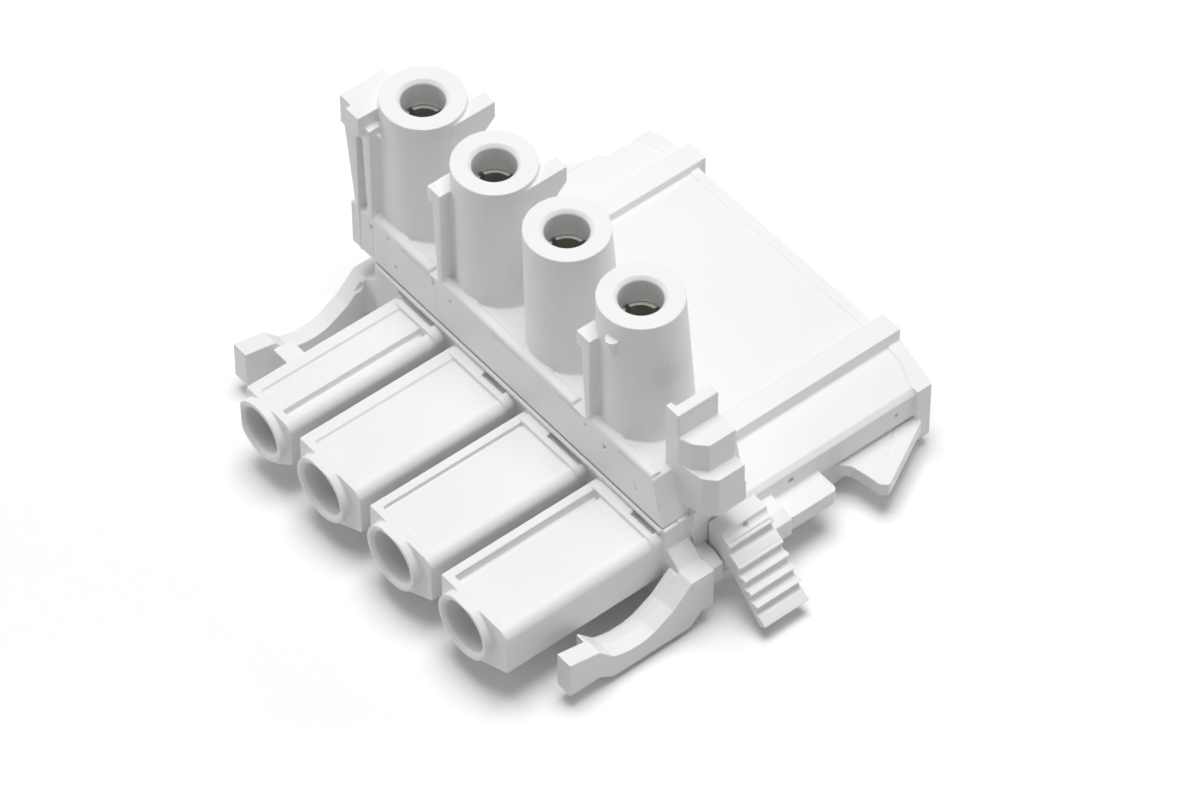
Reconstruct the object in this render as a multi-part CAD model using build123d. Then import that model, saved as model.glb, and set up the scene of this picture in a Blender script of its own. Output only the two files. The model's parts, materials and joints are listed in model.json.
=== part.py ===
from build123d import *
import math
import os

os.makedirs("parts", exist_ok=True)

# Frame: the origin lies under the middle of the contact row, on the plane that the housing stands on.
# +Y points to the plug end, -Y to the front sockets and +Z to the upright sockets. Millimetres.

# Contact row
POLES = 4
PITCH = 10.0
AXIS_Z = 6.4
FINGER_OFFSET = -3.6
FIRST_SHIFT = 1.2
POLE_X = [(n - (POLES - 1) / 2) * PITCH for n in range(POLES)]
FRONT_X = [POLE_X[0] + FIRST_SHIFT, *POLE_X[1:]]
FINGER_X = [x + FINGER_OFFSET for x in POLE_X]

# Levels of the housings
SPLIT_Z = 10.6
DECK_Z = 15.8
FINGER_TOP = 30.1
SEAT_GAP = 0.1

# Middle of the lower housing
BODY_HALF_X = 20.4
BODY_FRONT = -3.0
BODY_REAR = 4.6

# Contacts: sleeves, pins and folded busbars
CONTACT_GAP = 0.1
SLEEVE_BASE = 1.0
SLIT_WIDTH = 0.5
SLIT_DEPTH = 8.0
FRONT_SLEEVE_R = 2.0
FRONT_SLEEVE_BORE = 1.5
FRONT_SLEEVE_LENGTH = 12.0
UPRIGHT_SLEEVE_R = 2.25
UPRIGHT_SLEEVE_BORE = 1.7
STRIP = 0.8
STRIP_FRONT = 1.6
STRIP_HALF_X = 2.4
TONGUE_HALF_X = 1.0
TAB_Z = 12.0
PIN_R = 1.75
PIN_ROOT_R = 1.4
PIN_Z = 3.9
PIN_TIP = 22.0
PIN_NOSE = 0.7

# Front socket block
BOX_FRONT = -22.0
BOX_LEFT = 3.8
BOX_RIGHT = 4.8
BOX_TOP = 9.5
BOX_SIDE_LOW = 4.5
BOX_BOTTOM = 2.6
KEEL_HALF = 1.3
BOX_ROUND = 1.0
LAST_BOX_EXTRA = 0.4
FIRST_BOX_LEFT = 2.7
FIRST_BOX_RIGHT = 3.6
RING_R = 3.3
FIRST_RING_R = 3.1
RING_OUT = 0.8
SOCKET_R = 2.6
FIRST_SOCKET_R = 2.35
SOCKET_ENTRY = 4.6
SOCKET_CHAMFER = 0.3
BAND_LENGTH = 1.2
BAND_RISE = 0.3
PANEL_SINK = 0.25
PANEL_FRONT = 0.8
SLOT_WIDTH = 0.9
SLOT_DEPTH = 1.0
FIRST_SLOT = 1.4
LAST_SLOT = -2.9
GROOVE_WIDTH = 0.35

# Side latch arms of the front block
ARM_GAP = 1.7
ARM_THICK = 1.8
ARM_OUT = BODY_HALF_X + ARM_GAP + ARM_THICK
ARM_FRONT = -18.0
ARM_REAR = -1.9
ARM_BOTTOM = 0.7
ARM_TOP = 6.6
HOOK_LENGTH = 3.3
HOOK_BOTTOM = 1.75
HOOK_TOP = 5.9
HOOK_FALL = 0.7
NECK_TOP = 2.9
NECK_FRONT = -13.2
NECK_REAR = -8.6
SHOULDER = -4.4
HEEL = 1.3
BRIDGE_FRONT = -4.4
BRIDGE_TOP = 8.0
NUB = 2.0
NUB_FRONT = -14.9
NUB_LOW = 1.5
NUB_TOP = 4.4
WEB_OUT = 1.2
WEB_DROP = 0.25

# Plug shroud
MOUTH_Y = 27.3
PANEL_END = 26.4
SIDE_END = 25.7
CAVITY_END = 8.6
CAVITY_FLOOR = 1.2
WALL = 1.3
SIDE_WALL = 1.4
DECK_STEP = 0.2
DECK_HALF_X = BODY_HALF_X - DECK_STEP
DECK_TOP = 7.9
DECK_ROUND = 0.5
PANEL_TOP = 8.4
RAIL_TOP = 9.3
RAIL_IN = 12.3
RAIL_OUT = 14.7
LEDGE_Z = 4.7
LEDGE = 0.6
KEEL_CHAMFER = 1.2
STRIP_LENGTH = 1.0
STRIP_RISE = 0.15
FLANGE_OUT = 0.35
FLANGE_FRONT = 24.3
FLANGE_LOW = 1.4
BAND_IN = 25.8
BAND_SWEEP = 2.1
BAND_EASE = 0.3
LEFT_SET = 1.05
LEFT_START = 20.0
LEFT_TAPER = 1.4

# Wings and pads on the shroud's sides
WING_LOW = 2.7
WING_TOP = 4.2
WING_REACH = 5.1
WING_NECK = 1.3
WING_ROUND = 0.35
WING_START = 15.1
WING_BARB = 17.6
WING_END = 24.6
PAD_OUT = 2.7
PAD_LOW = 3.7
PAD_TOP = 5.4
PAD_ROUND = 0.5
PAD_FRONT = 7.6
PAD_REAR = 13.1

# Upright sockets
FINGER_R_TOP = 3.9
FINGER_R_BASE = 4.3
FINGER_LEAN_X = 0.35
FINGER_LEAN_Y = 0.5
FINGER_SINK = 0.5
FINGER_BORE = 2.02
FINGER_CHAMFER = 0.35
ENTRY = 3.0
UPPER_FRONT = -4.6
UPPER_REAR = BODY_REAR
UPPER_LEFT = -23.6
LIP = 1.1
LIP_RISE = 0.45
LIP_DEPTH = 1.0
LIP_ROUND = 0.4
LIP_START = 1.9
LIP_END = 0.2
DECK_END_LOW = 0.3
DECK_END_TOP = 1.7
RIB_IN = 1.9
RIB_OUT = 3.7
RIB_STEP = 0.6
RIB_TAPER = 0.6
RIB_DROP = 2.9
RIB_HEAD = 1.7
LAST_RIB_SHIFT = 0.6
LAST_RIB_DROP = 3.9
BOSS_R = 0.65
BOSS_TOE = 0.2
BOSS_SHIFT = 0.9
BOSS_HEIGHT = 2.2
BOSS_DROP = 2.0
REAR_RIB_IN = 2.4
REAR_RIB_OUT = 4.0
REAR_RIB_DROP = 0.5
REAR_RIB_REACH = 4.9
REAR_RIB_HEAD = 1.9
REAR_RIB_STEP = 1.1

# Guide column at the left end of the upright block
GUIDE_OUT = -24.5
GUIDE_IN = -22.3
GUIDE_FRONT = -4.7
GUIDE_REAR = 0.2
GUIDE_TOP = 28.8
GUIDE_HEAD = 3.4
GUIDE_STEP = 0.5
GUIDE_FOOT = 10.4
GUIDE_FOOT_RISE = 3.4
GUIDE_DRAFT = 1.5
KEY_IN = 1.2
KEY_OUT = 0.6
KEY_DROP = 2.4
WEB_SET = 0.9

# Coding stairs at the right end of the upright block
STAIR_LEFT = 18.4
STAIR_FRONT = -2.5
STAIR_REAR = 2.0
STAIR_SET = 1.5
STAIR_SLANT = 1.1
STAIR_EASE = 0.5
STAIR_FOOT = 12.4
STAIR_LIP = 0.6
HIGH_STAIR = 19.5
HIGH_STAIR_TOP = 23.4
MIDDLE_STAIR = 21.9
MIDDLE_STAIR_TOP = 20.6
LOW_STAIR = 23.2
LOW_STAIR_TOP = 17.2

# Release lever and the lugs that carry it
LEVER_Y0 = -0.1
LEVER_WIDTH = 5.1
LEVER_GAP = 0.15
LEVER_TOP = 9.0
LEVER_X0 = BODY_HALF_X + 0.5
LEVER_KNEE = BODY_HALF_X + 2.3
LEVER_ANGLE = 50.0
LEVER_LENGTH = 9.4
LEVER_THICK = 1.5
LEVER_TIP = 0.9
RIBS = 5
FIRST_CREST = 1.5
SECOND_CREST = 3.6
CREST_PITCH = 1.28
CREST_RISE = 0.2
GROOVE_SINK = 0.4
CREST_FALL = 0.3
CHEEK_DEPTH = 3.4
TRUNNION_R = 0.8
TRUNNION_LENGTH = 1.2
TRUNNION_GAP = 0.05
PIVOT_X = BODY_HALF_X + 1.3
PIVOT_Z = 5.0
LUG = 1.45
LUG_OUT = 2.8
LUG_LOW = 3.6
LUG_TOP = 6.3
LUG_SLOPE = 0.6
POST_OUT = 0.35
POST_LENGTH = 2.6
POST_TOP = 11.1


def block(x, y, z):
    """A box given by its lowest and highest value on each axis."""
    size = [b - a for a, b in (x, y, z)]
    centre = [(a + b) / 2 for a, b in (x, y, z)]
    return Pos(*centre) * Box(*size)


def along_x(points, x0, x1):
    """A solid with the outline of (y, z) points between two X planes."""
    outline = Polyline(*[(x0, y, z) for y, z in points], close=True)
    return extrude(make_face(outline), amount=x1 - x0, dir=(1, 0, 0))


def along_y(points, y0, y1):
    """A solid with the outline of (x, z) points between two Y planes."""
    outline = Polyline(*[(x, y0, z) for x, z in points], close=True)
    return extrude(make_face(outline), amount=y1 - y0, dir=(0, 1, 0))


def along_z(points, z0, z1):
    """A solid with the outline of (x, y) points between two Z planes."""
    outline = Polyline(*[(x, y, z0) for x, y in points], close=True)
    return extrude(make_face(outline), amount=z1 - z0, dir=(0, 0, 1))


def rod_y(x, z, radius, y0, y1):
    """A round bar along Y."""
    return Pos(x, (y0 + y1) / 2, z) * Rot(90, 0, 0) * Cylinder(radius, y1 - y0)


def rod_z(x, y, radius, z0, z1):
    """A round bar along Z."""
    return Pos(x, y, (z0 + z1) / 2) * Cylinder(radius, z1 - z0)


def mirrored(solid):
    """The same solid on the other side of the YZ plane."""
    return mirror(solid, about=Plane.YZ)


# Contacts

def sleeve(radius, bore, length):
    """A slit female contact, base at the origin and mouth towards +Z."""
    body = rod_z(0, 0, radius, 0, length) - rod_z(0, 0, bore, SLEEVE_BASE, length)
    slit = Pos(0, 0, length - SLIT_DEPTH / 2) * Box(2 * radius, SLIT_WIDTH, SLIT_DEPTH)
    return body - slit - Rot(0, 0, 90) * slit


def pin(x):
    """A plug pin: slim root from the busbar, shoulder on the shroud's end wall and chamfered nose."""
    bar = rod_y(x, PIN_Z, PIN_R, CAVITY_END, PIN_TIP)
    nose = bar.edges().filter_by(GeomType.CIRCLE).sort_by(Axis.Y)[-1]
    return chamfer(nose, PIN_NOSE) + rod_y(x, PIN_Z, PIN_ROOT_R, STRIP_FRONT + STRIP, CAVITY_END)


SLEEVE_FRONT_Y = BOX_FRONT - RING_OUT + SOCKET_ENTRY
SLEEVE_REAR_Y = SLEEVE_FRONT_Y + FRONT_SLEEVE_LENGTH
UPRIGHT_SLEEVE_LENGTH = FINGER_TOP - ENTRY - CONTACT_GAP - TAB_Z


def busbar(x, front_x, finger_x):
    """A folded strip: plate, tab under the upright contact and tongue to the front contact."""
    plate_y = (STRIP_FRONT, STRIP_FRONT + STRIP)
    low = block((x - STRIP_HALF_X, x + STRIP_HALF_X), plate_y, (PIN_Z - PIN_R, AXIS_Z + STRIP))
    leg = along_y(
        [
            (x - STRIP_HALF_X, AXIS_Z + STRIP),
            (x + STRIP_HALF_X, AXIS_Z + STRIP),
            (finger_x + STRIP_HALF_X, SPLIT_Z),
            (finger_x + STRIP_HALF_X, TAB_Z),
            (finger_x - STRIP_HALF_X, TAB_Z),
            (finger_x - STRIP_HALF_X, SPLIT_Z),
        ],
        *plate_y,
    )
    tab = block(
        (finger_x - STRIP_HALF_X, finger_x + STRIP_HALF_X),
        (-STRIP_HALF_X, STRIP_FRONT + STRIP),
        (TAB_Z - STRIP, TAB_Z),
    )
    tongue = block(
        (front_x - TONGUE_HALF_X, front_x + TONGUE_HALF_X),
        (SLEEVE_REAR_Y, STRIP_FRONT),
        (AXIS_Z - STRIP / 2, AXIS_Z + STRIP / 2),
    )
    return low + leg + tab + tongue


# Front socket block

def socket_box(pole):
    """One boxy socket with its keeled underside, round ring, sunk panel and rear band."""
    x = FRONT_X[pole]
    left, right, ring_r = x - BOX_LEFT, x + BOX_RIGHT, RING_R
    if pole == 0:
        left, right, ring_r = x - FIRST_BOX_LEFT, x + FIRST_BOX_RIGHT, FIRST_RING_R
    if pole == POLES - 1:
        right += LAST_BOX_EXTRA
    outline = [
        (left, BOX_TOP),
        (left, BOX_SIDE_LOW),
        (x - KEEL_HALF, BOX_BOTTOM),
        (x + KEEL_HALF, BOX_BOTTOM),
        (right, BOX_SIDE_LOW),
        (right, BOX_TOP),
    ]
    box = along_y(outline, BOX_FRONT, UPPER_FRONT)
    top_edge = box.edges().filter_by(Axis.Y).sort_by(Axis.X)[-2:].sort_by(Axis.Z)[-1]
    box = fillet(top_edge, BOX_ROUND)
    box += rod_y(x, AXIS_Z, ring_r, BOX_FRONT - RING_OUT, UPPER_FRONT) & block(
        (left, right), (BOX_FRONT - RING_OUT, UPPER_FRONT), (0, BOX_TOP)
    )
    panel_x = (left + BAND_LENGTH, right - BOX_ROUND)
    panel_y = (BOX_FRONT + PANEL_FRONT, UPPER_FRONT - BAND_LENGTH)
    box -= block(panel_x, panel_y, (BOX_TOP - PANEL_SINK, BOX_TOP + 1))
    band_y = (UPPER_FRONT - BAND_LENGTH, UPPER_FRONT)
    band = block((left, right), band_y, (BOX_SIDE_LOW, BOX_TOP + BAND_RISE))
    band = fillet(band.edges().filter_by(Axis.Y).sort_by(Axis.Z)[-2:], BOX_ROUND)
    return box + band


def socket_slot(pole):
    """The coding slot along a box's top: deep on the outer poles and a fine groove on the third."""
    x = FRONT_X[pole]
    ends = (BOX_FRONT + PANEL_FRONT, UPPER_FRONT - BAND_LENGTH)
    start, width, depth = {
        0: (x + FIRST_SLOT, SLOT_WIDTH, SLOT_DEPTH),
        2: (x - BOX_LEFT + BAND_LENGTH - GROOVE_WIDTH, GROOVE_WIDTH, 2 * PANEL_SINK),
        3: (x + LAST_SLOT, SLOT_WIDTH, SLOT_DEPTH),
    }[pole]
    return block((start, start + width), ends, (BOX_TOP - depth, BOX_TOP + 1))


def socket_bore(pole):
    """The stepped bore: chamfered mouth, wide entry and the chamber that holds the contact."""
    x = FRONT_X[pole]
    radius = FIRST_SOCKET_R if pole == 0 else SOCKET_R
    face = BOX_FRONT - RING_OUT
    bore = rod_y(x, AXIS_Z, radius, face, SLEEVE_FRONT_Y)
    bore += rod_y(x, AXIS_Z, FRONT_SLEEVE_R + CONTACT_GAP, face, BODY_FRONT)
    mouth = Pos(x, face + SOCKET_CHAMFER / 2, AXIS_Z) * Rot(90, 0, 0)
    return bore + mouth * Cone(radius, radius + SOCKET_CHAMFER, SOCKET_CHAMFER)


def arm_side(drop):
    """The outline of an arm seen from the side: hook, sunk neck, shoulder and heel."""
    hook_rear = ARM_FRONT + HOOK_LENGTH
    neck, crown, low = NECK_TOP - drop, ARM_TOP - drop, HOOK_TOP - HOOK_FALL - drop
    neck_front = (0, NECK_FRONT, neck + HEEL / 2)
    neck_middle = (0, (NECK_FRONT + NECK_REAR) / 2, neck)
    neck_rear = (0, NECK_REAR, neck + HEEL / 4)
    outline = [
        neck_rear,
        (0, (NECK_REAR + SHOULDER) / 2, (neck + crown) / 2 - HEEL / 4),
        (0, SHOULDER, crown),
        (0, ARM_REAR, crown),
        (0, ARM_REAR, ARM_BOTTOM + HEEL),
        (0, ARM_REAR - HEEL, ARM_BOTTOM + HEEL),
        (0, ARM_REAR - 2 * HEEL, ARM_BOTTOM),
        (0, NECK_FRONT, ARM_BOTTOM),
        (0, hook_rear, HOOK_BOTTOM),
        (0, ARM_FRONT, HOOK_BOTTOM),
        (0, ARM_FRONT, HOOK_TOP - drop),
        (0, hook_rear, low),
        neck_front,
    ]
    neck_arc = ThreePointArc(neck_front, neck_middle, neck_rear)
    return make_face(Wire([neck_arc, *Polyline(*outline).edges()]))


def latch_arm():
    """The right-hand arm with the bridge that joins it to the block."""
    inner = ARM_OUT - ARM_THICK
    arm = Pos(inner, 0, 0) * extrude(arm_side(0), amount=ARM_THICK, dir=(1, 0, 0))
    bridge = [
        (BODY_HALF_X, ARM_BOTTOM + HEEL),
        (inner, ARM_BOTTOM + HEEL),
        (inner, ARM_TOP),
        (BODY_HALF_X, BRIDGE_TOP),
    ]
    arm += along_y(bridge, BRIDGE_FRONT, ARM_REAR)
    root_x = (BODY_HALF_X - ARM_GAP, BODY_HALF_X)
    return arm + block(root_x, (BRIDGE_FRONT, BODY_FRONT - SEAT_GAP), (ARM_BOTTOM + HEEL, BRIDGE_TOP))


def front_block():
    """Four boxy sockets, their common wall and the two latch arms, moulded in one."""
    part = block((-BODY_HALF_X, BODY_HALF_X), (UPPER_FRONT, BODY_FRONT), (0, SPLIT_Z - SEAT_GAP))
    for pole in range(POLES):
        part += socket_box(pole)
    for pole in (0, 2, 3):
        part -= socket_slot(pole)
    for pole in range(POLES):
        part -= socket_bore(pole)
    arm = latch_arm()
    part += arm
    part += mirrored(arm)
    inner = ARM_OUT - ARM_THICK
    web = Pos(inner - WEB_OUT, 0, 0) * extrude(arm_side(WEB_DROP), amount=WEB_OUT, dir=(1, 0, 0))
    part += web & block((0, ARM_OUT), (NUB_FRONT, UPPER_FRONT), (0, BOX_TOP))
    return part + block((-inner, NUB - inner), (NUB_FRONT, NUB_FRONT + NUB), (NUB_LOW, NUB_TOP))


# Lower housing with the plug shroud

def shroud_outer():
    """The shroud's outer form: side decks, centre panel and two rails, with a stepped mouth."""
    side = DECK_HALF_X - LEDGE
    half = [
        (side - KEEL_CHAMFER, 0),
        (side, KEEL_CHAMFER),
        (side, LEDGE_Z),
        (DECK_HALF_X, LEDGE_Z),
        (DECK_HALF_X, DECK_TOP - DECK_ROUND),
        (DECK_HALF_X - DECK_ROUND, DECK_TOP),
        (RAIL_OUT, DECK_TOP),
        (RAIL_OUT, RAIL_TOP),
        (RAIL_IN, RAIL_TOP),
        (RAIL_IN, PANEL_TOP),
    ]
    form = along_y(half + [(-x, z) for x, z in reversed(half)], BODY_REAR, MOUTH_Y)
    panel_y = (PANEL_END - STRIP_LENGTH, PANEL_END)
    form += block((-RAIL_IN, RAIL_IN), panel_y, (PANEL_TOP - WALL, PANEL_TOP + STRIP_RISE))
    form -= block((-RAIL_IN, RAIL_IN), (PANEL_END, MOUTH_Y), (AXIS_Z, RAIL_TOP))
    out = DECK_HALF_X + FLANGE_OUT
    plan = [(side, FLANGE_FRONT), (out, FLANGE_FRONT), (out, MOUTH_Y), (side, MOUTH_Y)]
    edge = along_z(plan, FLANGE_LOW, DECK_TOP)
    sweep = [(RAIL_OUT, BAND_IN), (RAIL_OUT + BAND_SWEEP, BAND_IN - BAND_EASE), (side, FLANGE_FRONT)]
    edge += along_z(sweep + plan[1:3] + [(RAIL_OUT, MOUTH_Y)], DECK_TOP - DECK_ROUND, DECK_TOP + STRIP_RISE)
    far = MOUTH_Y + WALL
    corner = [(RAIL_OUT, MOUTH_Y), (out + WALL, SIDE_END), (out + WALL, far), (RAIL_OUT, far)]
    cut = along_z(corner, 0, RAIL_TOP)
    left = LEFT_SET - DECK_HALF_X
    taper = [(-DECK_HALF_X, LEFT_START), (left, LEFT_START + LEFT_TAPER), (left, far), (-out - WALL, far)]
    taper += [(-out - WALL, LEFT_START)]
    return form + edge + mirrored(edge) - cut - mirrored(cut) - along_z(taper, 0, RAIL_TOP)


def shroud_cavity():
    """The space that a mating socket fills, with a higher roof between the rails."""
    half_x = DECK_HALF_X - LEDGE - SIDE_WALL
    cavity = block((-half_x, half_x), (CAVITY_END, MOUTH_Y), (CAVITY_FLOOR, DECK_TOP - WALL))
    roof_x = RAIL_IN - WALL
    return cavity + block((-roof_x, roof_x), (CAVITY_END, MOUTH_Y), (CAVITY_FLOOR, PANEL_TOP - WALL))


def wing():
    """The right-hand latch wing, a barb with a hollow front edge."""
    root = DECK_HALF_X - LEDGE
    anchor = root - SIDE_WALL / 2
    tip = root + WING_REACH
    neck = (root + WING_NECK, WING_START + WING_NECK, WING_LOW)
    barb = (tip - WING_NECK / 2, WING_BARB - WING_NECK / 2, WING_LOW)
    middle = (root + WING_REACH / 2, (neck[1] + barb[1]) / 2, WING_LOW)
    outline = [
        barb,
        (tip, WING_BARB, WING_LOW),
        (root + WING_NECK, WING_END, WING_LOW),
        (anchor, WING_END, WING_LOW),
        (anchor, WING_START, WING_LOW),
        (root, WING_START, WING_LOW),
        neck,
    ]
    plan = make_face(Wire([ThreePointArc(neck, middle, barb), *Polyline(*outline).edges()]))
    barbed = extrude(plan, amount=WING_TOP - WING_LOW, dir=(0, 0, 1))
    return fillet(barbed.edges().filter_by(Axis.Z).sort_by(Axis.X)[-2:], WING_ROUND)


def lug(y0, y1):
    """A lug with a sloping top that holds one trunnion."""
    out = BODY_HALF_X + LUG_OUT
    side = DECK_HALF_X - LEDGE
    outline = [
        (side, LUG_LOW),
        (out, LUG_LOW),
        (out, LUG_TOP - LUG_SLOPE),
        (out - 2 * LUG_SLOPE, LUG_TOP),
        (side, LUG_TOP),
    ]
    return along_y(outline, y0, y1)


def lever_lugs():
    """The two lugs that carry the lever, the post over the first and the pad behind the second."""
    front_y = LEVER_Y0 - LEVER_GAP
    rear_y = LEVER_Y0 + LEVER_WIDTH + LEVER_GAP
    lugs = lug(front_y - LUG, front_y) + lug(rear_y, PAD_FRONT)
    post_y = (front_y - LUG, front_y - LUG + POST_LENGTH)
    post = block((DECK_HALF_X - LEDGE, BODY_HALF_X + POST_OUT), post_y, (LUG_TOP - LUG_SLOPE, POST_TOP))
    pad = block((DECK_HALF_X - LEDGE, DECK_HALF_X + PAD_OUT), (PAD_FRONT, PAD_REAR), (PAD_LOW, PAD_TOP))
    pad = fillet(pad.edges().filter_by(Axis.Z).sort_by(Axis.X)[-2:], PAD_ROUND)
    hole_y = (front_y - TRUNNION_LENGTH, rear_y + TRUNNION_LENGTH)
    return lugs + post + pad - rod_y(PIVOT_X, PIVOT_Z, TRUNNION_R + TRUNNION_GAP, *hole_y)


def contact_pocket(x):
    """The pocket that a busbar drops into, open to the front and to the upright block."""
    room = STRIP_HALF_X + CONTACT_GAP
    pocket_x = (x + FINGER_OFFSET - room, x + room)
    rear = STRIP_FRONT + STRIP
    pocket = block(pocket_x, (BODY_FRONT, rear), (PIN_Z - PIN_R - CONTACT_GAP, SPLIT_Z))
    return pocket + rod_y(x, PIN_Z, PIN_ROOT_R + CONTACT_GAP, rear, CAVITY_END)


def plug_housing():
    """The lower housing: contact chambers, plug shroud, wings and lever lugs in one moulding."""
    part = block((-BODY_HALF_X, BODY_HALF_X), (BODY_FRONT, BODY_REAR), (0, SPLIT_Z))
    part += shroud_outer()
    part -= shroud_cavity()
    for x in POLE_X:
        part -= contact_pocket(x)
    side = wing()
    part += side
    part += mirrored(side)
    return part + lever_lugs()


# Upright socket block

def finger(x):
    """One drafted round socket on the deck, its outside leaning back a little to free the mould."""
    rise = FINGER_TOP - DECK_Z
    draft = (FINGER_R_BASE - FINGER_R_TOP) / rise * FINGER_SINK
    lean = Plane((x + FINGER_LEAN_X, FINGER_LEAN_Y, DECK_Z), z_dir=(-FINGER_LEAN_X, -FINGER_LEAN_Y, rise))
    height = rise + 2 * FINGER_SINK
    cone = Pos(0, 0, rise / 2) * Cone(FINGER_R_BASE + draft, FINGER_R_TOP - draft, height)
    reach = 2 * FINGER_R_BASE
    room = block((x - reach, x + reach), (-reach, reach), (SPLIT_Z, FINGER_TOP))
    return (lean * cone) & room


def front_rib(x, drop):
    """The coding rib at the front left of a finger, with its wider head and tapered stem."""
    top = FINGER_TOP - drop
    left, right = x - RIB_OUT, x - RIB_IN
    head = block((left, right), (UPPER_FRONT, 0), (top - RIB_HEAD, top))
    side = left + RIB_STEP
    stem = [(side, top), (right, top), (right, DECK_Z), (side + RIB_TAPER, DECK_Z)]
    return head + along_y(stem, UPPER_FRONT, 0)


def boss(x):
    """The small toed boss on the front of the last finger."""
    centre = Pos(x + BOSS_SHIFT, -FINGER_R_TOP, FINGER_TOP - BOSS_DROP - BOSS_HEIGHT / 2)
    return centre * Cone(BOSS_TOE, BOSS_R, BOSS_HEIGHT)


def rear_rib(x):
    """The coding rib at the rear right of a finger, stepped back below its head."""
    top = FINGER_TOP - REAR_RIB_DROP
    stem = REAR_RIB_REACH - REAR_RIB_STEP
    outline = [
        (0, DECK_Z),
        (stem, DECK_Z),
        (stem, top - REAR_RIB_HEAD - REAR_RIB_STEP),
        (REAR_RIB_REACH, top - REAR_RIB_HEAD),
        (REAR_RIB_REACH, top),
        (0, top),
    ]
    return along_x(outline, x + REAR_RIB_IN, x + REAR_RIB_OUT)


def guide_column():
    """The tall guide at the left end, drawn in towards the foot that reaches beside the lower housing."""
    side = GUIDE_OUT + GUIDE_STEP
    collar = GUIDE_TOP - GUIDE_HEAD
    shaft = [
        (GUIDE_IN, GUIDE_TOP),
        (side, GUIDE_TOP),
        (side, collar),
        (side + GUIDE_DRAFT, GUIDE_FOOT + GUIDE_FOOT_RISE),
        (GUIDE_IN, GUIDE_FOOT),
    ]
    column = along_y(shaft, GUIDE_FRONT, GUIDE_REAR)
    column += block((GUIDE_OUT, GUIDE_IN), (GUIDE_FRONT, GUIDE_REAR), (collar, GUIDE_TOP))
    drop = GUIDE_TOP - KEY_DROP
    key_x = (GUIDE_IN - KEY_OUT, GUIDE_IN + KEY_IN)
    column += block(key_x, (GUIDE_FRONT - KEY_OUT, GUIDE_REAR), (drop, GUIDE_TOP))
    return column + block((key_x[0], FINGER_X[0]), (GUIDE_FRONT + WEB_SET, GUIDE_REAR), (DECK_Z, drop))


def coding_stairs():
    """The coding walls at the right end, stepped down outwards, with eased front corners."""
    lip_x = (STAIR_LEFT - STAIR_LIP, HIGH_STAIR)
    part = block(lip_x, (STAIR_FRONT, STAIR_FRONT + STAIR_LIP), (STAIR_FOOT, HIGH_STAIR_TOP))
    part += block((STAIR_LEFT, HIGH_STAIR), (STAIR_FRONT, STAIR_REAR), (STAIR_FOOT, HIGH_STAIR_TOP))
    for right, top in ((MIDDLE_STAIR, MIDDLE_STAIR_TOP), (LOW_STAIR, LOW_STAIR_TOP)):
        plan = [
            (STAIR_LEFT, STAIR_FRONT),
            (HIGH_STAIR, STAIR_FRONT),
            (right - STAIR_SLANT, STAIR_FRONT + STAIR_EASE),
            (right, STAIR_FRONT + STAIR_SET),
            (right, STAIR_REAR),
            (STAIR_LEFT, STAIR_REAR),
        ]
        part += along_z(plan, STAIR_FOOT, top)
    return part


def front_lip():
    """The rounded lip along the front edge of the deck, broken at the ribs."""
    breaks = [UPPER_LEFT + LIP_START]
    for n in (1, 3):
        breaks += [FINGER_X[n] - RIB_OUT, FINGER_X[n] - RIB_IN]
    breaks += [BODY_HALF_X - DECK_END_TOP - LIP_END]
    lip = None
    for start, end in zip(breaks[0::2], breaks[1::2]):
        bar = block((start, end), (UPPER_FRONT, UPPER_FRONT + LIP), (DECK_Z - LIP_DEPTH, DECK_Z + LIP_RISE))
        bar = fillet(bar.edges().filter_by(Axis.X).sort_by(Axis.Z)[-2:], LIP_ROUND)
        lip = bar if lip is None else lip + bar
    return lip


def finger_bore(x):
    """The stepped bore: pin entry at the top, contact chamber below."""
    top = FINGER_TOP
    entry = rod_z(x, 0, FINGER_BORE, top - ENTRY - 1, top)
    chamfered = Pos(x, 0, top - FINGER_CHAMFER / 2)
    entry += chamfered * Cone(FINGER_BORE, FINGER_BORE + FINGER_CHAMFER, FINGER_CHAMFER)
    chamber = rod_z(x, 0, UPRIGHT_SLEEVE_R + CONTACT_GAP, SPLIT_Z, top - ENTRY)
    room = STRIP_HALF_X + CONTACT_GAP
    foot_y = (-room, STRIP_FRONT + STRIP + CONTACT_GAP)
    return entry + chamber + block((x - room, x + room), foot_y, (SPLIT_Z, TAB_Z + CONTACT_GAP))


def upper_block():
    """The upright socket block: deck, fingers, coding ribs, guide column and stairs in one moulding."""
    deck = [
        (UPPER_LEFT, SPLIT_Z),
        (BODY_HALF_X - DECK_END_LOW, SPLIT_Z),
        (BODY_HALF_X - DECK_END_TOP, DECK_Z),
        (UPPER_LEFT, DECK_Z),
    ]
    part = along_y(deck, UPPER_FRONT, UPPER_REAR)
    for x in FINGER_X:
        part += finger(x)
    for n in (0, 1):
        part += front_rib(FINGER_X[n], RIB_DROP)
    part += front_rib(FINGER_X[3] + LAST_RIB_SHIFT, LAST_RIB_DROP)
    part += boss(FINGER_X[3])
    for n in (0, 1):
        part += rear_rib(FINGER_X[n])
    part += guide_column()
    part += coding_stairs()
    part += front_lip()
    for x in FINGER_X:
        part -= finger_bore(x)
    return part


# Release lever

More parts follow.
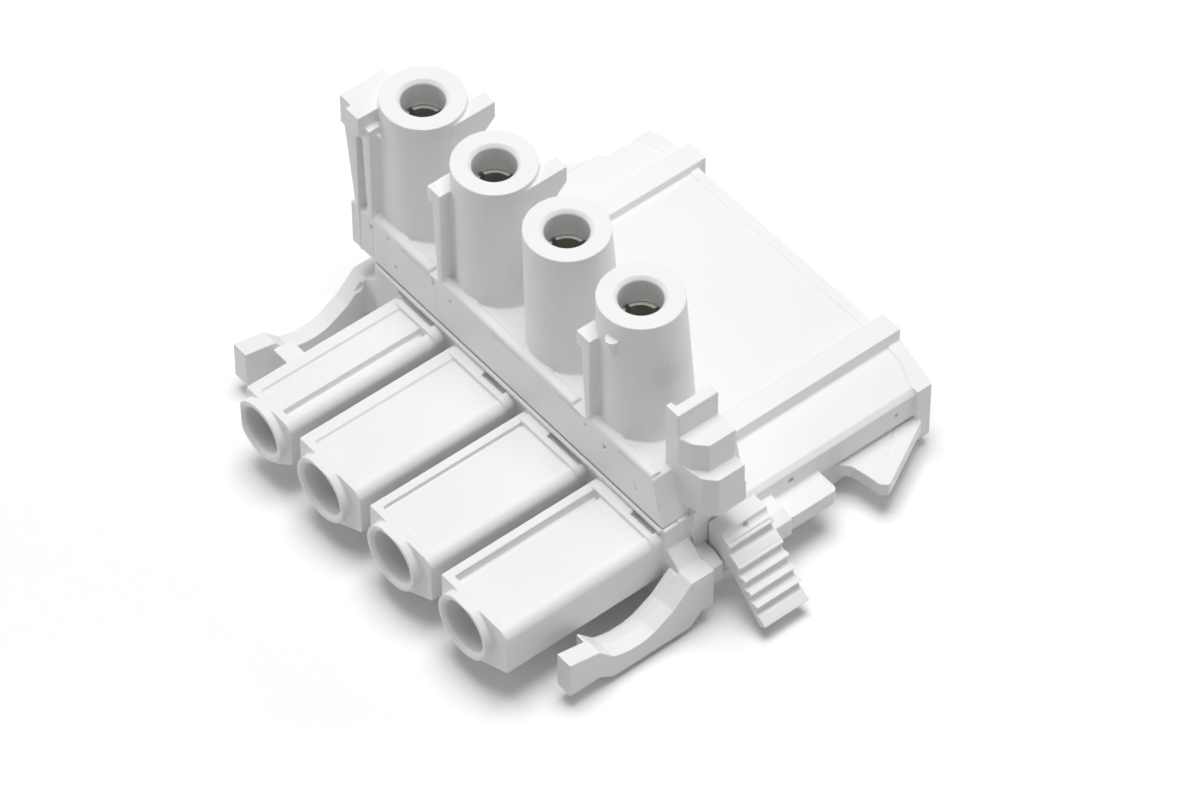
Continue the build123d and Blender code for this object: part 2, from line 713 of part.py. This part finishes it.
def release_lever():
    """The ribbed thumb lever with its two trunnions."""
    slope = math.radians(LEVER_ANGLE)
    along = (math.cos(slope), -math.sin(slope))
    out = (math.sin(slope), math.cos(slope))

    def at(run, rise):
        return (LEVER_KNEE + along[0] * run + out[0] * rise, LEVER_TOP + along[1] * run + out[1] * rise)

    outline = [(LEVER_X0, LEVER_TOP), (LEVER_KNEE, LEVER_TOP)]
    for crest in [FIRST_CREST] + [SECOND_CREST + n * CREST_PITCH for n in range(RIBS - 1)]:
        outline += [at(crest, CREST_RISE), at(crest + CREST_FALL, -GROOVE_SINK)]
    outline += [at(LEVER_LENGTH, 0), at(LEVER_LENGTH, -LEVER_TIP), at(CHEEK_DEPTH, -LEVER_THICK)]
    outline += [(PIVOT_X + TRUNNION_R, PIVOT_Z - TRUNNION_R), (LEVER_X0, PIVOT_Z - TRUNNION_R)]
    y1 = LEVER_Y0 + LEVER_WIDTH
    body = along_y(outline, LEVER_Y0, y1)
    length = TRUNNION_LENGTH + LEVER_GAP - TRUNNION_GAP
    return body + rod_y(PIVOT_X, PIVOT_Z, TRUNNION_R, LEVER_Y0 - length, y1 + length)


def write(solid, node):
    export_step(solid, f"parts/{node}.step")


write(plug_housing(), "plug_housing")
write(front_block(), "front_socket_block")
write(upper_block(), "upright_socket_block")
write(release_lever(), "release_lever")

for n in range(POLES):
    x, front_x, finger_x = POLE_X[n], FRONT_X[n], FINGER_X[n]
    write(busbar(x, front_x, finger_x), f"busbar_{n + 1}")
    write(pin(x), f"plug_pin_{n + 1}")
    front = sleeve(FRONT_SLEEVE_R, FRONT_SLEEVE_BORE, FRONT_SLEEVE_LENGTH)
    write(Pos(front_x, SLEEVE_REAR_Y, AXIS_Z) * Rot(90, 0, 0) * front, f"front_contact_{n + 1}")
    upright = sleeve(UPRIGHT_SLEEVE_R, UPRIGHT_SLEEVE_BORE, UPRIGHT_SLEEVE_LENGTH)
    write(Pos(finger_x, 0, TAB_Z) * upright, f"upright_contact_{n + 1}")
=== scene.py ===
import json
import math

import bpy
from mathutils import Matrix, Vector

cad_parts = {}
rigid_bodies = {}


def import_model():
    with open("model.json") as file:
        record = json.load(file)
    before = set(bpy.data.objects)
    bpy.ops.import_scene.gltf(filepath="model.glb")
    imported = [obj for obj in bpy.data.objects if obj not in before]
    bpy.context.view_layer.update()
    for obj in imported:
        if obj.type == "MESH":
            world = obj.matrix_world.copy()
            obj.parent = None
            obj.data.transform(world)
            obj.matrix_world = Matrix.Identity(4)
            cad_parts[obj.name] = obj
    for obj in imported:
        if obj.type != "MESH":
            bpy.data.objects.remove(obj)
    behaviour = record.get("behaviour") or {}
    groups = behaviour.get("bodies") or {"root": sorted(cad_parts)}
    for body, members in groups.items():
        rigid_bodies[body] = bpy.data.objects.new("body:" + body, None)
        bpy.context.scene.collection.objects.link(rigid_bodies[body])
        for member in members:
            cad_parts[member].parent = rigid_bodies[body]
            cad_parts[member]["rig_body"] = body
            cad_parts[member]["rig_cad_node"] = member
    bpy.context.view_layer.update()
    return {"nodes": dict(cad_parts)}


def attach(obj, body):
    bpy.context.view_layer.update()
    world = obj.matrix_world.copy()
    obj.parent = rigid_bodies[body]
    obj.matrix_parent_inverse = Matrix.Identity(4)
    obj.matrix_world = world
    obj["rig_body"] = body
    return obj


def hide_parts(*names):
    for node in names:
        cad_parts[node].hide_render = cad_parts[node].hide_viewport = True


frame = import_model()

bl_info = {
    "name": "T-Connector Dresser",
    "version": (1, 0, 0),
    "blender": (4, 5, 0),
    "location": "View3D > Sidebar > Connector",
    "description": "Finishes a moulded T-connector and sets it on a pale studio floor",
    "category": "Object",
}

MM = 0.001
MOST_TRIANGLES = 180000
MERGE = 0.002 * MM
SMOOTH_ANGLE = math.radians(50)
DRILL_SIDES = 24

# The lever's slope, in degrees and millimetres: its top edge, its middle and the crests of its ribs
LEVER_SLOPE = 50.0
KNEE_X, KNEE_Z = 22.7, 9.0
LEVER_MIDDLE, LEVER_HALF = 2.45, 2.55
CRESTS = [1.5] + [3.6 + 1.28 * n for n in range(4)]
LINE_INSET = 0.3
PAST_LEVER = 1.0

# Faces of the housings that the marks lie in, in millimetres
DECK_SIDE = 20.2
PAD_TOP = 5.4
RAIL_FOOT = 8.55
WING_TOP = 4.2
WALL_FRONT = -4.6
WALL_TOP = 10.5
BOX_TOP = 9.5
ARM_OUT = 23.9
LEFT_ARM_IN = -22.1
ARM_PIT_Z = 5.85

# Ledge of the common wall, from its left to its right end, and the gaps under it
LEDGE_START, LEDGE_END = -20.0, 20.0
LEDGE_OUT = 0.28
LEDGE_GAPS = ((-17.0, -11.6), (-4.3, -1.4), (4.9, 9.2), (16.4, 19.4))

# Marks on the deck's front: x, z, width and height of each pin mark, then seams and shadows along x
MARK_OUT = 0.3
PIN_MARKS = (
    (-20.7, 14.75, 0.3, 0.7),
    (-18.2, 15.3, 0.22, 0.5),
    (-17.2, 12.45, 0.25, 0.4),
    (-11.8, 15.1, 0.25, 0.9),
    (-9.4, 14.6, 0.22, 0.45),
    (9.5, 14.9, 0.3, 0.35),
    (12.1, 14.3, 0.4, 0.5),
    (16.4, 13.2, 0.16, 0.3),
    (16.4, 12.6, 0.16, 0.4),
)
SEAMS = (-20.3, -11.3, 19.5)
SEAM_HALF = 0.06
SEAM_LOW, SEAM_HIGH = 11.2, 15.2
LIP_SHADOWS = ((-16.5, -12.2), (-3.4, 1.0), (5.5, 9.0), (14.0, 16.2))
SHADOW_LOW, SHADOW_HIGH = 15.35, 15.55

# Tones that bounced light and the camera find on the floor, and the strengths that they find in the world
FLOOR_BOUNCE, FLOOR_SEEN = (0.66, 0.66, 0.66, 1.0), (1.0, 1.0, 1.0, 1.0)
WORLD_BOUNCE, WORLD_SEEN = 0.2, 1.0
FLOOR_SIZE, FLOOR_DROP = 4.0, 0.00002

# Area lamps that look at the origin: name, place, size in metres and power in watts
LAMPS = (
    ("key_lamp", (-0.02, 0.02, 0.9), 0.5, 6.4),
    ("left_lamp", (-0.66, -0.4, 0.22), 0.5, 1.4),
    ("right_lamp", (0.25, 0.73, 0.22), 0.5, 1.4),
)
SENSOR_WIDTH = 36.0
CLIP_START = 0.01

MOULDINGS = {
    "plug_housing": "connector",
    "front_socket_block": "connector",
    "upright_socket_block": "connector",
    "release_lever": "lever",
}


class NodeTree:
    """Short calls for building a node tree."""

    def __init__(self, tree):
        self.tree = tree

    def add(self, kind, values=None, **props):
        node = self.tree.nodes.new(kind)
        for name, value in props.items():
            setattr(node, name, value)
        for key, value in (values or {}).items():
            node.inputs[key].default_value = value
        return node

    def link(self, source, target):
        self.tree.links.new(source, target)


def grain_group():
    """A group that puts out a fine moulded grain as a height, and a slow unevenness as a mask."""
    name = "moulded_grain"
    if name in bpy.data.node_groups:
        return bpy.data.node_groups[name]
    tree = bpy.data.node_groups.new(name, "ShaderNodeTree")
    side = tree.interface.new_socket("Grain Scale", in_out="INPUT", socket_type="NodeSocketFloat")
    side.default_value = 9000.0
    slow = tree.interface.new_socket("Cloud Scale", in_out="INPUT", socket_type="NodeSocketFloat")
    slow.default_value = 160.0
    tree.interface.new_socket("Height", in_out="OUTPUT", socket_type="NodeSocketFloat")
    tree.interface.new_socket("Cloud", in_out="OUTPUT", socket_type="NodeSocketFloat")
    nodes = NodeTree(tree)
    source = nodes.add("NodeGroupInput")
    sink = nodes.add("NodeGroupOutput")
    place = nodes.add("ShaderNodeTexCoord")
    grain = nodes.add("ShaderNodeTexNoise", {"Detail": 2.0, "Roughness": 0.6})
    cloud = nodes.add("ShaderNodeTexNoise", {"Detail": 3.0, "Roughness": 0.5})
    nodes.link(place.outputs["Object"], grain.inputs["Vector"])
    nodes.link(place.outputs["Object"], cloud.inputs["Vector"])
    nodes.link(source.outputs["Grain Scale"], grain.inputs["Scale"])
    nodes.link(source.outputs["Cloud Scale"], cloud.inputs["Scale"])
    nodes.link(grain.outputs["Fac"], sink.inputs["Height"])
    nodes.link(cloud.outputs["Fac"], sink.inputs["Cloud"])
    return tree


def new_material(name):
    """A node material with nothing but a Principled shader: the material, its tree and the shader."""
    material = bpy.data.materials.new(name)
    material.use_nodes = True
    tree = material.node_tree
    tree.nodes.clear()
    nodes = NodeTree(tree)
    shader = nodes.add("ShaderNodeBsdfPrincipled")
    output = nodes.add("ShaderNodeOutputMaterial")
    nodes.link(shader.outputs["BSDF"], output.inputs["Surface"])
    return material, nodes, shader


def plastic_material(name, colour, roughness):
    """White satin moulded plastic with a fine grain and slightly uneven gloss."""
    material, nodes, shader = new_material(name)
    group = nodes.add("ShaderNodeGroup", node_tree=grain_group())
    shader.inputs["Specular IOR Level"].default_value = 0.45
    tone = nodes.add("ShaderNodeMix", data_type="RGBA")
    tone.inputs["A"].default_value = (*colour, 1.0)
    tone.inputs["B"].default_value = (*[0.965 * c for c in colour], 1.0)
    nodes.link(group.outputs["Cloud"], tone.inputs["Factor"])
    nodes.link(tone.outputs["Result"], shader.inputs["Base Color"])
    gloss = nodes.add("ShaderNodeMapRange", {"To Min": roughness - 0.05, "To Max": roughness + 0.08})
    nodes.link(group.outputs["Cloud"], gloss.inputs["Value"])
    nodes.link(gloss.outputs["Result"], shader.inputs["Roughness"])
    bump = nodes.add("ShaderNodeBump", {"Strength": 0.06, "Distance": 0.00002})
    nodes.link(group.outputs["Height"], bump.inputs["Height"])
    nodes.link(bump.outputs["Normal"], shader.inputs["Normal"])
    return material


def metal_material(name, colour, roughness):
    """Dull tinned contact metal with slightly uneven tone and gloss."""
    material, nodes, shader = new_material(name)
    group = nodes.add("ShaderNodeGroup", node_tree=grain_group())
    group.inputs["Grain Scale"].default_value = 3500.0
    shader.inputs["Metallic"].default_value = 1.0
    tone = nodes.add("ShaderNodeMix", data_type="RGBA")
    tone.inputs["A"].default_value = (*colour, 1.0)
    tone.inputs["B"].default_value = (*[0.8 * c for c in colour], 1.0)
    nodes.link(group.outputs["Cloud"], tone.inputs["Factor"])
    nodes.link(tone.outputs["Result"], shader.inputs["Base Color"])
    gloss = nodes.add("ShaderNodeMapRange", {"To Min": roughness - 0.06, "To Max": roughness + 0.1})
    nodes.link(group.outputs["Height"], gloss.inputs["Value"])
    nodes.link(gloss.outputs["Result"], shader.inputs["Roughness"])
    return material


def seen_rays(nodes):
    """A socket that is 1 for what the camera, a gloss or a glass sees, and 0 for bounced light."""
    path = nodes.add("ShaderNodeLightPath")
    either = nodes.add("ShaderNodeMath", operation="MAXIMUM")
    seen = nodes.add("ShaderNodeMath", operation="MAXIMUM")
    nodes.link(path.outputs["Is Camera Ray"], either.inputs[0])
    nodes.link(path.outputs["Is Glossy Ray"], either.inputs[1])
    nodes.link(either.outputs[0], seen.inputs[0])
    nodes.link(path.outputs["Is Transmission Ray"], seen.inputs[1])
    return seen.outputs[0]


def select_only(obj):
    """Make obj the one selected object, and the active one."""
    bpy.ops.object.select_all(action="DESELECT")
    obj.select_set(True)
    bpy.context.view_layer.objects.active = obj


def copy_of_node(node, name):
    """A free copy of a node's mesh with its doubles merged and its imported normals cleared."""
    select_only(frame["nodes"][node])
    bpy.ops.object.duplicate()
    piece = bpy.context.object
    piece.name = name
    piece.parent = None
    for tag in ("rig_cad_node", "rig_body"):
        del piece[tag]
    bpy.ops.object.mode_set(mode="EDIT")
    bpy.ops.mesh.select_all(action="SELECT")
    bpy.ops.mesh.remove_doubles(threshold=MERGE)
    bpy.ops.object.mode_set(mode="OBJECT")
    bpy.ops.mesh.customdata_custom_splitnormals_clear()
    return piece


def add_bar(low, high):
    """A bar between two corners in millimetres, to cut with or to add."""
    size = [(b - a) * MM for a, b in zip(low, high)]
    centre = [(a + b) / 2 * MM for a, b in zip(low, high)]
    bpy.ops.object.select_all(action="DESELECT")
    bpy.ops.mesh.primitive_cube_add(size=1.0, location=centre, scale=size)
    bpy.ops.object.transform_apply(location=True, rotation=True, scale=True)
    return bpy.context.object


def add_drill(centre, axis, radius, depth, toe=1.0):
    """A round drill, centred in millimetres on a point, with a toe that may be narrower or wider."""
    turn = Vector(axis).to_track_quat("Z", "Y").to_euler()
    place = [v * MM for v in centre]
    bpy.ops.object.select_all(action="DESELECT")
    bpy.ops.mesh.primitive_cone_add(
        vertices=DRILL_SIDES, radius1=toe * radius * MM, radius2=radius * MM, depth=depth * MM,
        location=place, rotation=turn)
    bpy.ops.object.transform_apply(location=True, rotation=True, scale=True)
    return bpy.context.object


def shape(piece, operation, tools):
    """Take the tools out of the piece or add them to it; the tools may overlap each other."""
    bpy.ops.object.select_all(action="DESELECT")
    for tool in tools:
        tool.select_set(True)
    bpy.context.view_layer.objects.active = tools[0]
    if len(tools) > 1:
        bpy.ops.object.join()
    tool = bpy.context.object
    select_only(piece)
    work = piece.modifiers.new("shape", "BOOLEAN")
    work.operation = operation
    work.solver = "EXACT"
    work.use_self = True
    work.object = tool
    bpy.ops.object.modifier_apply(modifier=work.name)
    bpy.data.objects.remove(tool)


def lever_point(run, rise, y):
    """A point on the lever's slope: run down it from the knee, rise out of it, y across it."""
    down, out = math.radians(LEVER_SLOPE), math.radians(90.0 - LEVER_SLOPE)
    x = KNEE_X + run * math.cos(down) + rise * math.cos(out)
    return (x, y, KNEE_Z - run * math.sin(down) + rise * math.sin(out))


def lever_normal():
    """The direction that points out of the lever's slope."""
    out = math.radians(90.0 - LEVER_SLOPE)
    return (math.cos(out), 0.0, math.sin(out))


def lever_tools():
    """A groove and a pit behind each rib, lines on two crests, a groove at the top, a pit at each end."""
    middle = LEVER_MIDDLE
    left, right = middle - LEVER_HALF, middle + LEVER_HALF
    slope = math.radians(LEVER_SLOPE)
    down, across = (math.cos(slope), 0.0, -math.sin(slope)), (0, 1, 0)
    whole = 2 * LEVER_HALF + PAST_LEVER
    tools = []
    for crest in CRESTS:
        tools.append(add_drill(lever_point(crest + 0.46, -0.1, middle), across, 0.44, whole))
        tools.append(add_drill(lever_point(crest + 0.27, -0.2, middle + 0.1), down, 0.34, 0.66))
    start = left + 0.1
    for crest in CRESTS[:2]:
        line = (start + right - LINE_INSET) / 2
        length = right - LINE_INSET - start
        tools.append(add_drill(lever_point(crest - 0.35, 0.22, line), across, 0.17, length))
    tools.append(add_drill(lever_point(0.5, 0.3, middle), across, 0.5, whole))
    tools.append(add_drill(lever_point(0.5, -0.3, middle), lever_normal(), 0.4, 0.8, 0.5))
    tools.append(add_drill(lever_point(8.15, 0.02, middle + 0.35), lever_normal(), 0.28, 0.3, 0.5))
    return tools


def housing_tools():
    """Pits on the shroud's side, the pad, the right rail's foot and the right wing, and its fold line."""
    tools = [
        add_bar((DECK_SIDE - 0.5, 9.7, 6.1), (DECK_SIDE + 0.3, 10.3, 6.65)),
        add_bar((DECK_SIDE - 0.4, 22.05, 5.95), (DECK_SIDE + 0.3, 22.4, 6.35)),
        add_bar((20.9, 12.75, PAD_TOP - 0.18), (22.2, 12.9, PAD_TOP + 0.2)),
        add_bar((21.3, 12.4, PAD_TOP - 0.12), (21.9, 12.5, PAD_TOP + 0.2)),
        add_drill((21.7, 8.4, PAD_TOP), (0, 0, 1), 0.32, 0.16, 0.6),
        add_drill((12.55, 25.3, RAIL_FOOT), (0, 0, 1), 0.28, 0.3, 0.5),
        add_drill((22.85, 18.05, WING_TOP), (0, 0, 1), 0.28, 0.3, 0.4),
    ]
    start, end = Vector((19.9, 22.2, WING_TOP)), Vector((22.65, 18.35, WING_TOP))
    line = end - start
    tools.append(add_drill((start + end) / 2, line.normalized(), 0.11, line.length))
    return tools


def front_beads():
    """The thin ledge along the top of the common wall, just under the upright block."""
    low = (LEDGE_START, WALL_FRONT - LEDGE_OUT, WALL_TOP - 0.45)
    return [add_bar(low, (LEDGE_END, WALL_FRONT + 0.3, WALL_TOP))]


def front_tools():
    """The dark gaps under the ledge, the gap above it and the pits beside the arms' shoulders."""
    tools = [
        add_bar((x0, WALL_FRONT - 0.6, BOX_TOP - 0.3), (x1, WALL_FRONT + 0.5, WALL_TOP - 0.5))
        for x0, x1 in LEDGE_GAPS
    ]
    low = (LEDGE_START, WALL_FRONT - 0.02, WALL_TOP - 0.12)
    tools.append(add_bar(low, (LEDGE_END, WALL_FRONT + 0.6, WALL_TOP + 0.3)))
    tools.append(add_drill((ARM_OUT, -4.3, ARM_PIT_Z), (1, 0, 0), 0.3, 0.4, 0.5))
    tools.append(add_drill((LEFT_ARM_IN, -5.2, ARM_PIT_Z), (1, 0, 0), 0.4, 0.6, 1.6))
    return tools


def upright_tools():
    """Pin marks, fine seams and the shadow lines under the lip on the deck's front face."""
    front = WALL_FRONT - MARK_OUT
    tools = []
    for x, z, wide, tall in PIN_MARKS:
        low = (x - wide / 2, front, z - tall / 2)
        tools.append(add_bar(low, (x + wide / 2, WALL_FRONT + 0.35, z + tall / 2)))
    for x in SEAMS:
        low = (x - SEAM_HALF, front, SEAM_LOW)
        tools.append(add_bar(low, (x + SEAM_HALF, WALL_FRONT + 0.1, SEAM_HIGH)))
    for start, end in LIP_SHADOWS:
        tools.append(add_bar((start, front, SHADOW_LOW), (end, WALL_FRONT + 0.2, SHADOW_HIGH)))
    return tools


def soften(piece, pitch, rounds):
    """Round every edge and inner corner of a moulding a little, as its mould does."""
    select_only(piece)
    bpy.ops.object.duplicate()
    form = bpy.context.object
    select_only(piece)
    piece.data.remesh_voxel_size = pitch
    bpy.ops.object.voxel_remesh()
    hold = piece.modifiers.new("hold_form", "SHRINKWRAP")
    hold.wrap_method = "NEAREST_SURFACEPOINT"
    hold.target = form
    bpy.ops.object.modifier_apply(modifier=hold.name)
    bpy.data.objects.remove(form)
    ease = piece.modifiers.new("edge_ease", "SMOOTH")
    ease.factor = 0.5
    ease.iterations = rounds
    bpy.ops.object.modifier_apply(modifier=ease.name)
    count = 2 * len(piece.data.polygons)
    if count > MOST_TRIANGLES:
        thin = piece.modifiers.new("thin_mesh", "DECIMATE")
        thin.ratio = MOST_TRIANGLES / count
        bpy.ops.object.modifier_apply(modifier=thin.name)
    bpy.ops.object.shade_smooth_by_angle(angle=SMOOTH_ANGLE)
    even = piece.modifiers.new("even_faces", "WEIGHTED_NORMAL")
    even.keep_sharp = True
    bpy.ops.object.modifier_apply(modifier=even.name)


TOOLS = {
    "plug_housing": housing_tools,
    "front_socket_block": front_tools,
    "upright_socket_block": upright_tools,
    "release_lever": lever_tools,
}


class ConnectorLooks(bpy.types.PropertyGroup):
    """Colours and finishes of the connector."""

    plastic: bpy.props.FloatVectorProperty(
        name="Plastic", description="Colour of the moulded housings", subtype="COLOR",
        default=(0.86, 0.86, 0.865), min=0.0, max=1.0)
    plastic_roughness: bpy.props.FloatProperty(
        name="Plastic Roughness", description="Gloss of the moulded housings", default=0.42, min=0.0, max=1.0)
    metal: bpy.props.FloatVectorProperty(
        name="Metal", description="Colour of the contacts", subtype="COLOR",
        default=(0.7, 0.68, 0.63), min=0.0, max=1.0)
    metal_roughness: bpy.props.FloatProperty(
        name="Metal Roughness", description="Gloss of the contacts", default=0.5, min=0.0, max=1.0)


class ConnectorMould(bpy.types.PropertyGroup):
    """Edges and marks that the mould leaves on the housings."""

    pitch: bpy.props.FloatProperty(
        name="Edge Pitch", description="Mesh pitch that the edges of the housings are rounded at",
        default=0.12 * MM, min=0.05 * MM, unit="LENGTH")
    lever_pitch: bpy.props.FloatProperty(
        name="Lever Pitch", description="Mesh pitch that the edges of the lever are rounded at",
        default=0.07 * MM, min=0.05 * MM, unit="LENGTH")
    rounds: bpy.props.IntProperty(
        name="Rounds", description="How often the edges of the housings are eased", default=4, min=0)
    lever_rounds: bpy.props.IntProperty(
        name="Lever Rounds", description="How often the edges of the lever are eased", default=12, min=0)


class ConnectorStage(bpy.types.PropertyGroup):
    """Camera, lamps and floor."""

    azimuth: bpy.props.FloatProperty(
        name="Azimuth", description="Turn of the camera round the object", default=math.radians(50.788),
        subtype="ANGLE", unit="ROTATION")
    elevation: bpy.props.FloatProperty(
        name="Elevation", description="Height of the camera over the floor", default=math.radians(48.905),
        subtype="ANGLE", unit="ROTATION")
    distance: bpy.props.FloatProperty(
        name="Distance", description="From the camera to the point that it is turned about",
        default=0.6, unit="LENGTH")
    pan_right: bpy.props.FloatProperty(
        name="Pan Right", description="Move of the camera to its left", default=-0.003725, unit="LENGTH")
    pan_up: bpy.props.FloatProperty(
        name="Pan Up", description="Move of the camera downwards", default=-0.004216, unit="LENGTH")
    lens: bpy.props.FloatProperty(
        name="Lens", description="Focal length in millimetres on a 36 mm wide sensor",
        default=201.405, min=1.0)


class CONNECTOR_OT_mouldings(bpy.types.Operator):
    """Make the four mouldings with soft edges"""

    bl_idname = "connector.mouldings"
    bl_label = "Mouldings"
    bl_options = {"REGISTER", "UNDO"}

    def execute(self, context):
        mould = context.scene.connector_mould
        for node, body in MOULDINGS.items():
            piece = copy_of_node(node, f"{node}_moulding")
            if node == "front_socket_block":
                shape(piece, "UNION", front_beads())
            shape(piece, "DIFFERENCE", TOOLS[node]())
            if body == "lever":
                soften(piece, mould.lever_pitch, mould.lever_rounds)
            else:
                soften(piece, mould.pitch, mould.rounds)
            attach(piece, body)
            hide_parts(node)
        return {"FINISHED"}


class CONNECTOR_OT_finishes(bpy.types.Operator):
    """Give every moulding and every contact its finish"""

    bl_idname = "connector.finishes"
    bl_label = "Finishes"
    bl_options = {"REGISTER", "UNDO"}

    def execute(self, context):
        looks = context.scene.connector_looks
        plastic = plastic_material("white_moulded_plastic", tuple(looks.plastic), looks.plastic_roughness)
        metal = metal_material("tinned_contact_brass", tuple(looks.metal), looks.metal_roughness)
        for node, obj in frame["nodes"].items():
            finish = plastic if node in MOULDINGS else metal
            for dressed in (obj, bpy.data.objects.get(f"{node}_moulding")):
                if dressed is not None:
                    dressed.data.materials.clear()
                    dressed.data.materials.append(finish)
        return {"FINISHED"}


class CONNECTOR_OT_stage(bpy.types.Operator):
    """Set up the floor, the soft lamps, the world and the camera"""

    bl_idname = "connector.stage"
    bl_label = "Stage"
    bl_options = {"REGISTER", "UNDO"}

    def execute(self, context):
        stage = context.scene.connector_stage
        self.add_floor()
        self.add_world(context)
        self.add_lamps()
        self.add_camera(context, stage)
        context.scene.view_settings.view_transform = "Standard"
        return {"FINISHED"}

    def add_floor(self):
        bpy.ops.object.select_all(action="DESELECT")
        bpy.ops.mesh.primitive_plane_add(size=FLOOR_SIZE, location=(0, 0, -FLOOR_DROP))
        bpy.ops.object.transform_apply(location=True, rotation=True, scale=True)
        floor = bpy.context.object
        floor.name = "studio_floor"
        material, nodes, shader = new_material("pale_floor")
        shader.inputs["Roughness"].default_value = 0.9
        shader.inputs["Specular IOR Level"].default_value = 0.0
        seen = seen_rays(nodes)
        tone = nodes.add("ShaderNodeMix", data_type="RGBA")
        tone.inputs["A"].default_value = FLOOR_BOUNCE
        tone.inputs["B"].default_value = FLOOR_SEEN
        nodes.link(seen, tone.inputs["Factor"])
        nodes.link(tone.outputs["Result"], shader.inputs["Base Color"])
        floor.data.materials.append(material)

    def add_world(self, context):
        world = bpy.data.worlds.new("studio_world")
        world.use_nodes = True
        world.node_tree.nodes.clear()
        nodes = NodeTree(world.node_tree)
        sky = nodes.add("ShaderNodeBackground", {"Color": (1, 1, 1, 1), "Strength": WORLD_BOUNCE})
        white = nodes.add("ShaderNodeBackground", {"Color": (1, 1, 1, 1), "Strength": WORLD_SEEN})
        mix = nodes.add("ShaderNodeMixShader")
        output = nodes.add("ShaderNodeOutputWorld")
        nodes.link(seen_rays(nodes), mix.inputs[0])
        nodes.link(sky.outputs[0], mix.inputs[1])
        nodes.link(white.outputs[0], mix.inputs[2])
        nodes.link(mix.outputs[0], output.inputs["Surface"])
        context.scene.world = world

    def add_lamps(self):
        for name, place, size, power in LAMPS:
            bpy.ops.object.light_add(type="AREA", location=place)
            lamp = bpy.context.object
            lamp.name = name
            lamp.data.size = size
            lamp.data.energy = power
            lamp.rotation_euler = (-Vector(place)).to_track_quat("-Z", "Y").to_euler()

    def add_camera(self, context, stage):
        turn, rise = stage.azimuth, stage.elevation
        forward = Vector((-math.sin(turn) * math.cos(rise), math.cos(turn) * math.cos(rise), -math.sin(rise)))
        right = Vector((math.cos(turn), math.sin(turn), 0.0))
        up = right.cross(forward)
        place = -forward * stage.distance - right * stage.pan_right - up * stage.pan_up
        bpy.ops.object.camera_add(location=place)
        camera = bpy.context.object
        camera.name = "photo_camera"
        camera.rotation_euler = forward.to_track_quat("-Z", "Y").to_euler()
        camera.data.sensor_fit = "HORIZONTAL"
        camera.data.sensor_width = SENSOR_WIDTH
        camera.data.lens = stage.lens
        camera.data.clip_start = CLIP_START
        context.scene.camera = camera


class CONNECTOR_PT_panel(bpy.types.Panel):
    """Sizes, colours and steps of the connector"""

    bl_idname = "CONNECTOR_PT_panel"
    bl_label = "T-Connector"
    bl_space_type = "VIEW_3D"
    bl_region_type = "UI"
    bl_category = "Connector"

    def draw(self, context):
        layout = self.layout
        scene = context.scene
        for settings in (scene.connector_mould, scene.connector_looks, scene.connector_stage):
            box = layout.box()
            for name in settings.__annotations__:
                box.prop(settings, name)
        for step in STEPS:
            layout.operator(step.bl_idname)


STEPS = (CONNECTOR_OT_mouldings, CONNECTOR_OT_finishes, CONNECTOR_OT_stage)
CLASSES = (ConnectorMould, ConnectorLooks, ConnectorStage, *STEPS, CONNECTOR_PT_panel)


def register():
    for item in CLASSES:
        bpy.utils.register_class(item)
    bpy.types.Scene.connector_mould = bpy.props.PointerProperty(type=ConnectorMould)
    bpy.types.Scene.connector_looks = bpy.props.PointerProperty(type=ConnectorLooks)
    bpy.types.Scene.connector_stage = bpy.props.PointerProperty(type=ConnectorStage)


def unregister():
    del bpy.types.Scene.connector_stage
    del bpy.types.Scene.connector_looks
    del bpy.types.Scene.connector_mould
    for item in reversed(CLASSES):
        bpy.utils.unregister_class(item)


def main():
    register()
    connector = bpy.ops.connector
    for step in (connector.mouldings, connector.finishes, connector.stage):
        step()


if __name__ == "__main__":
    main()
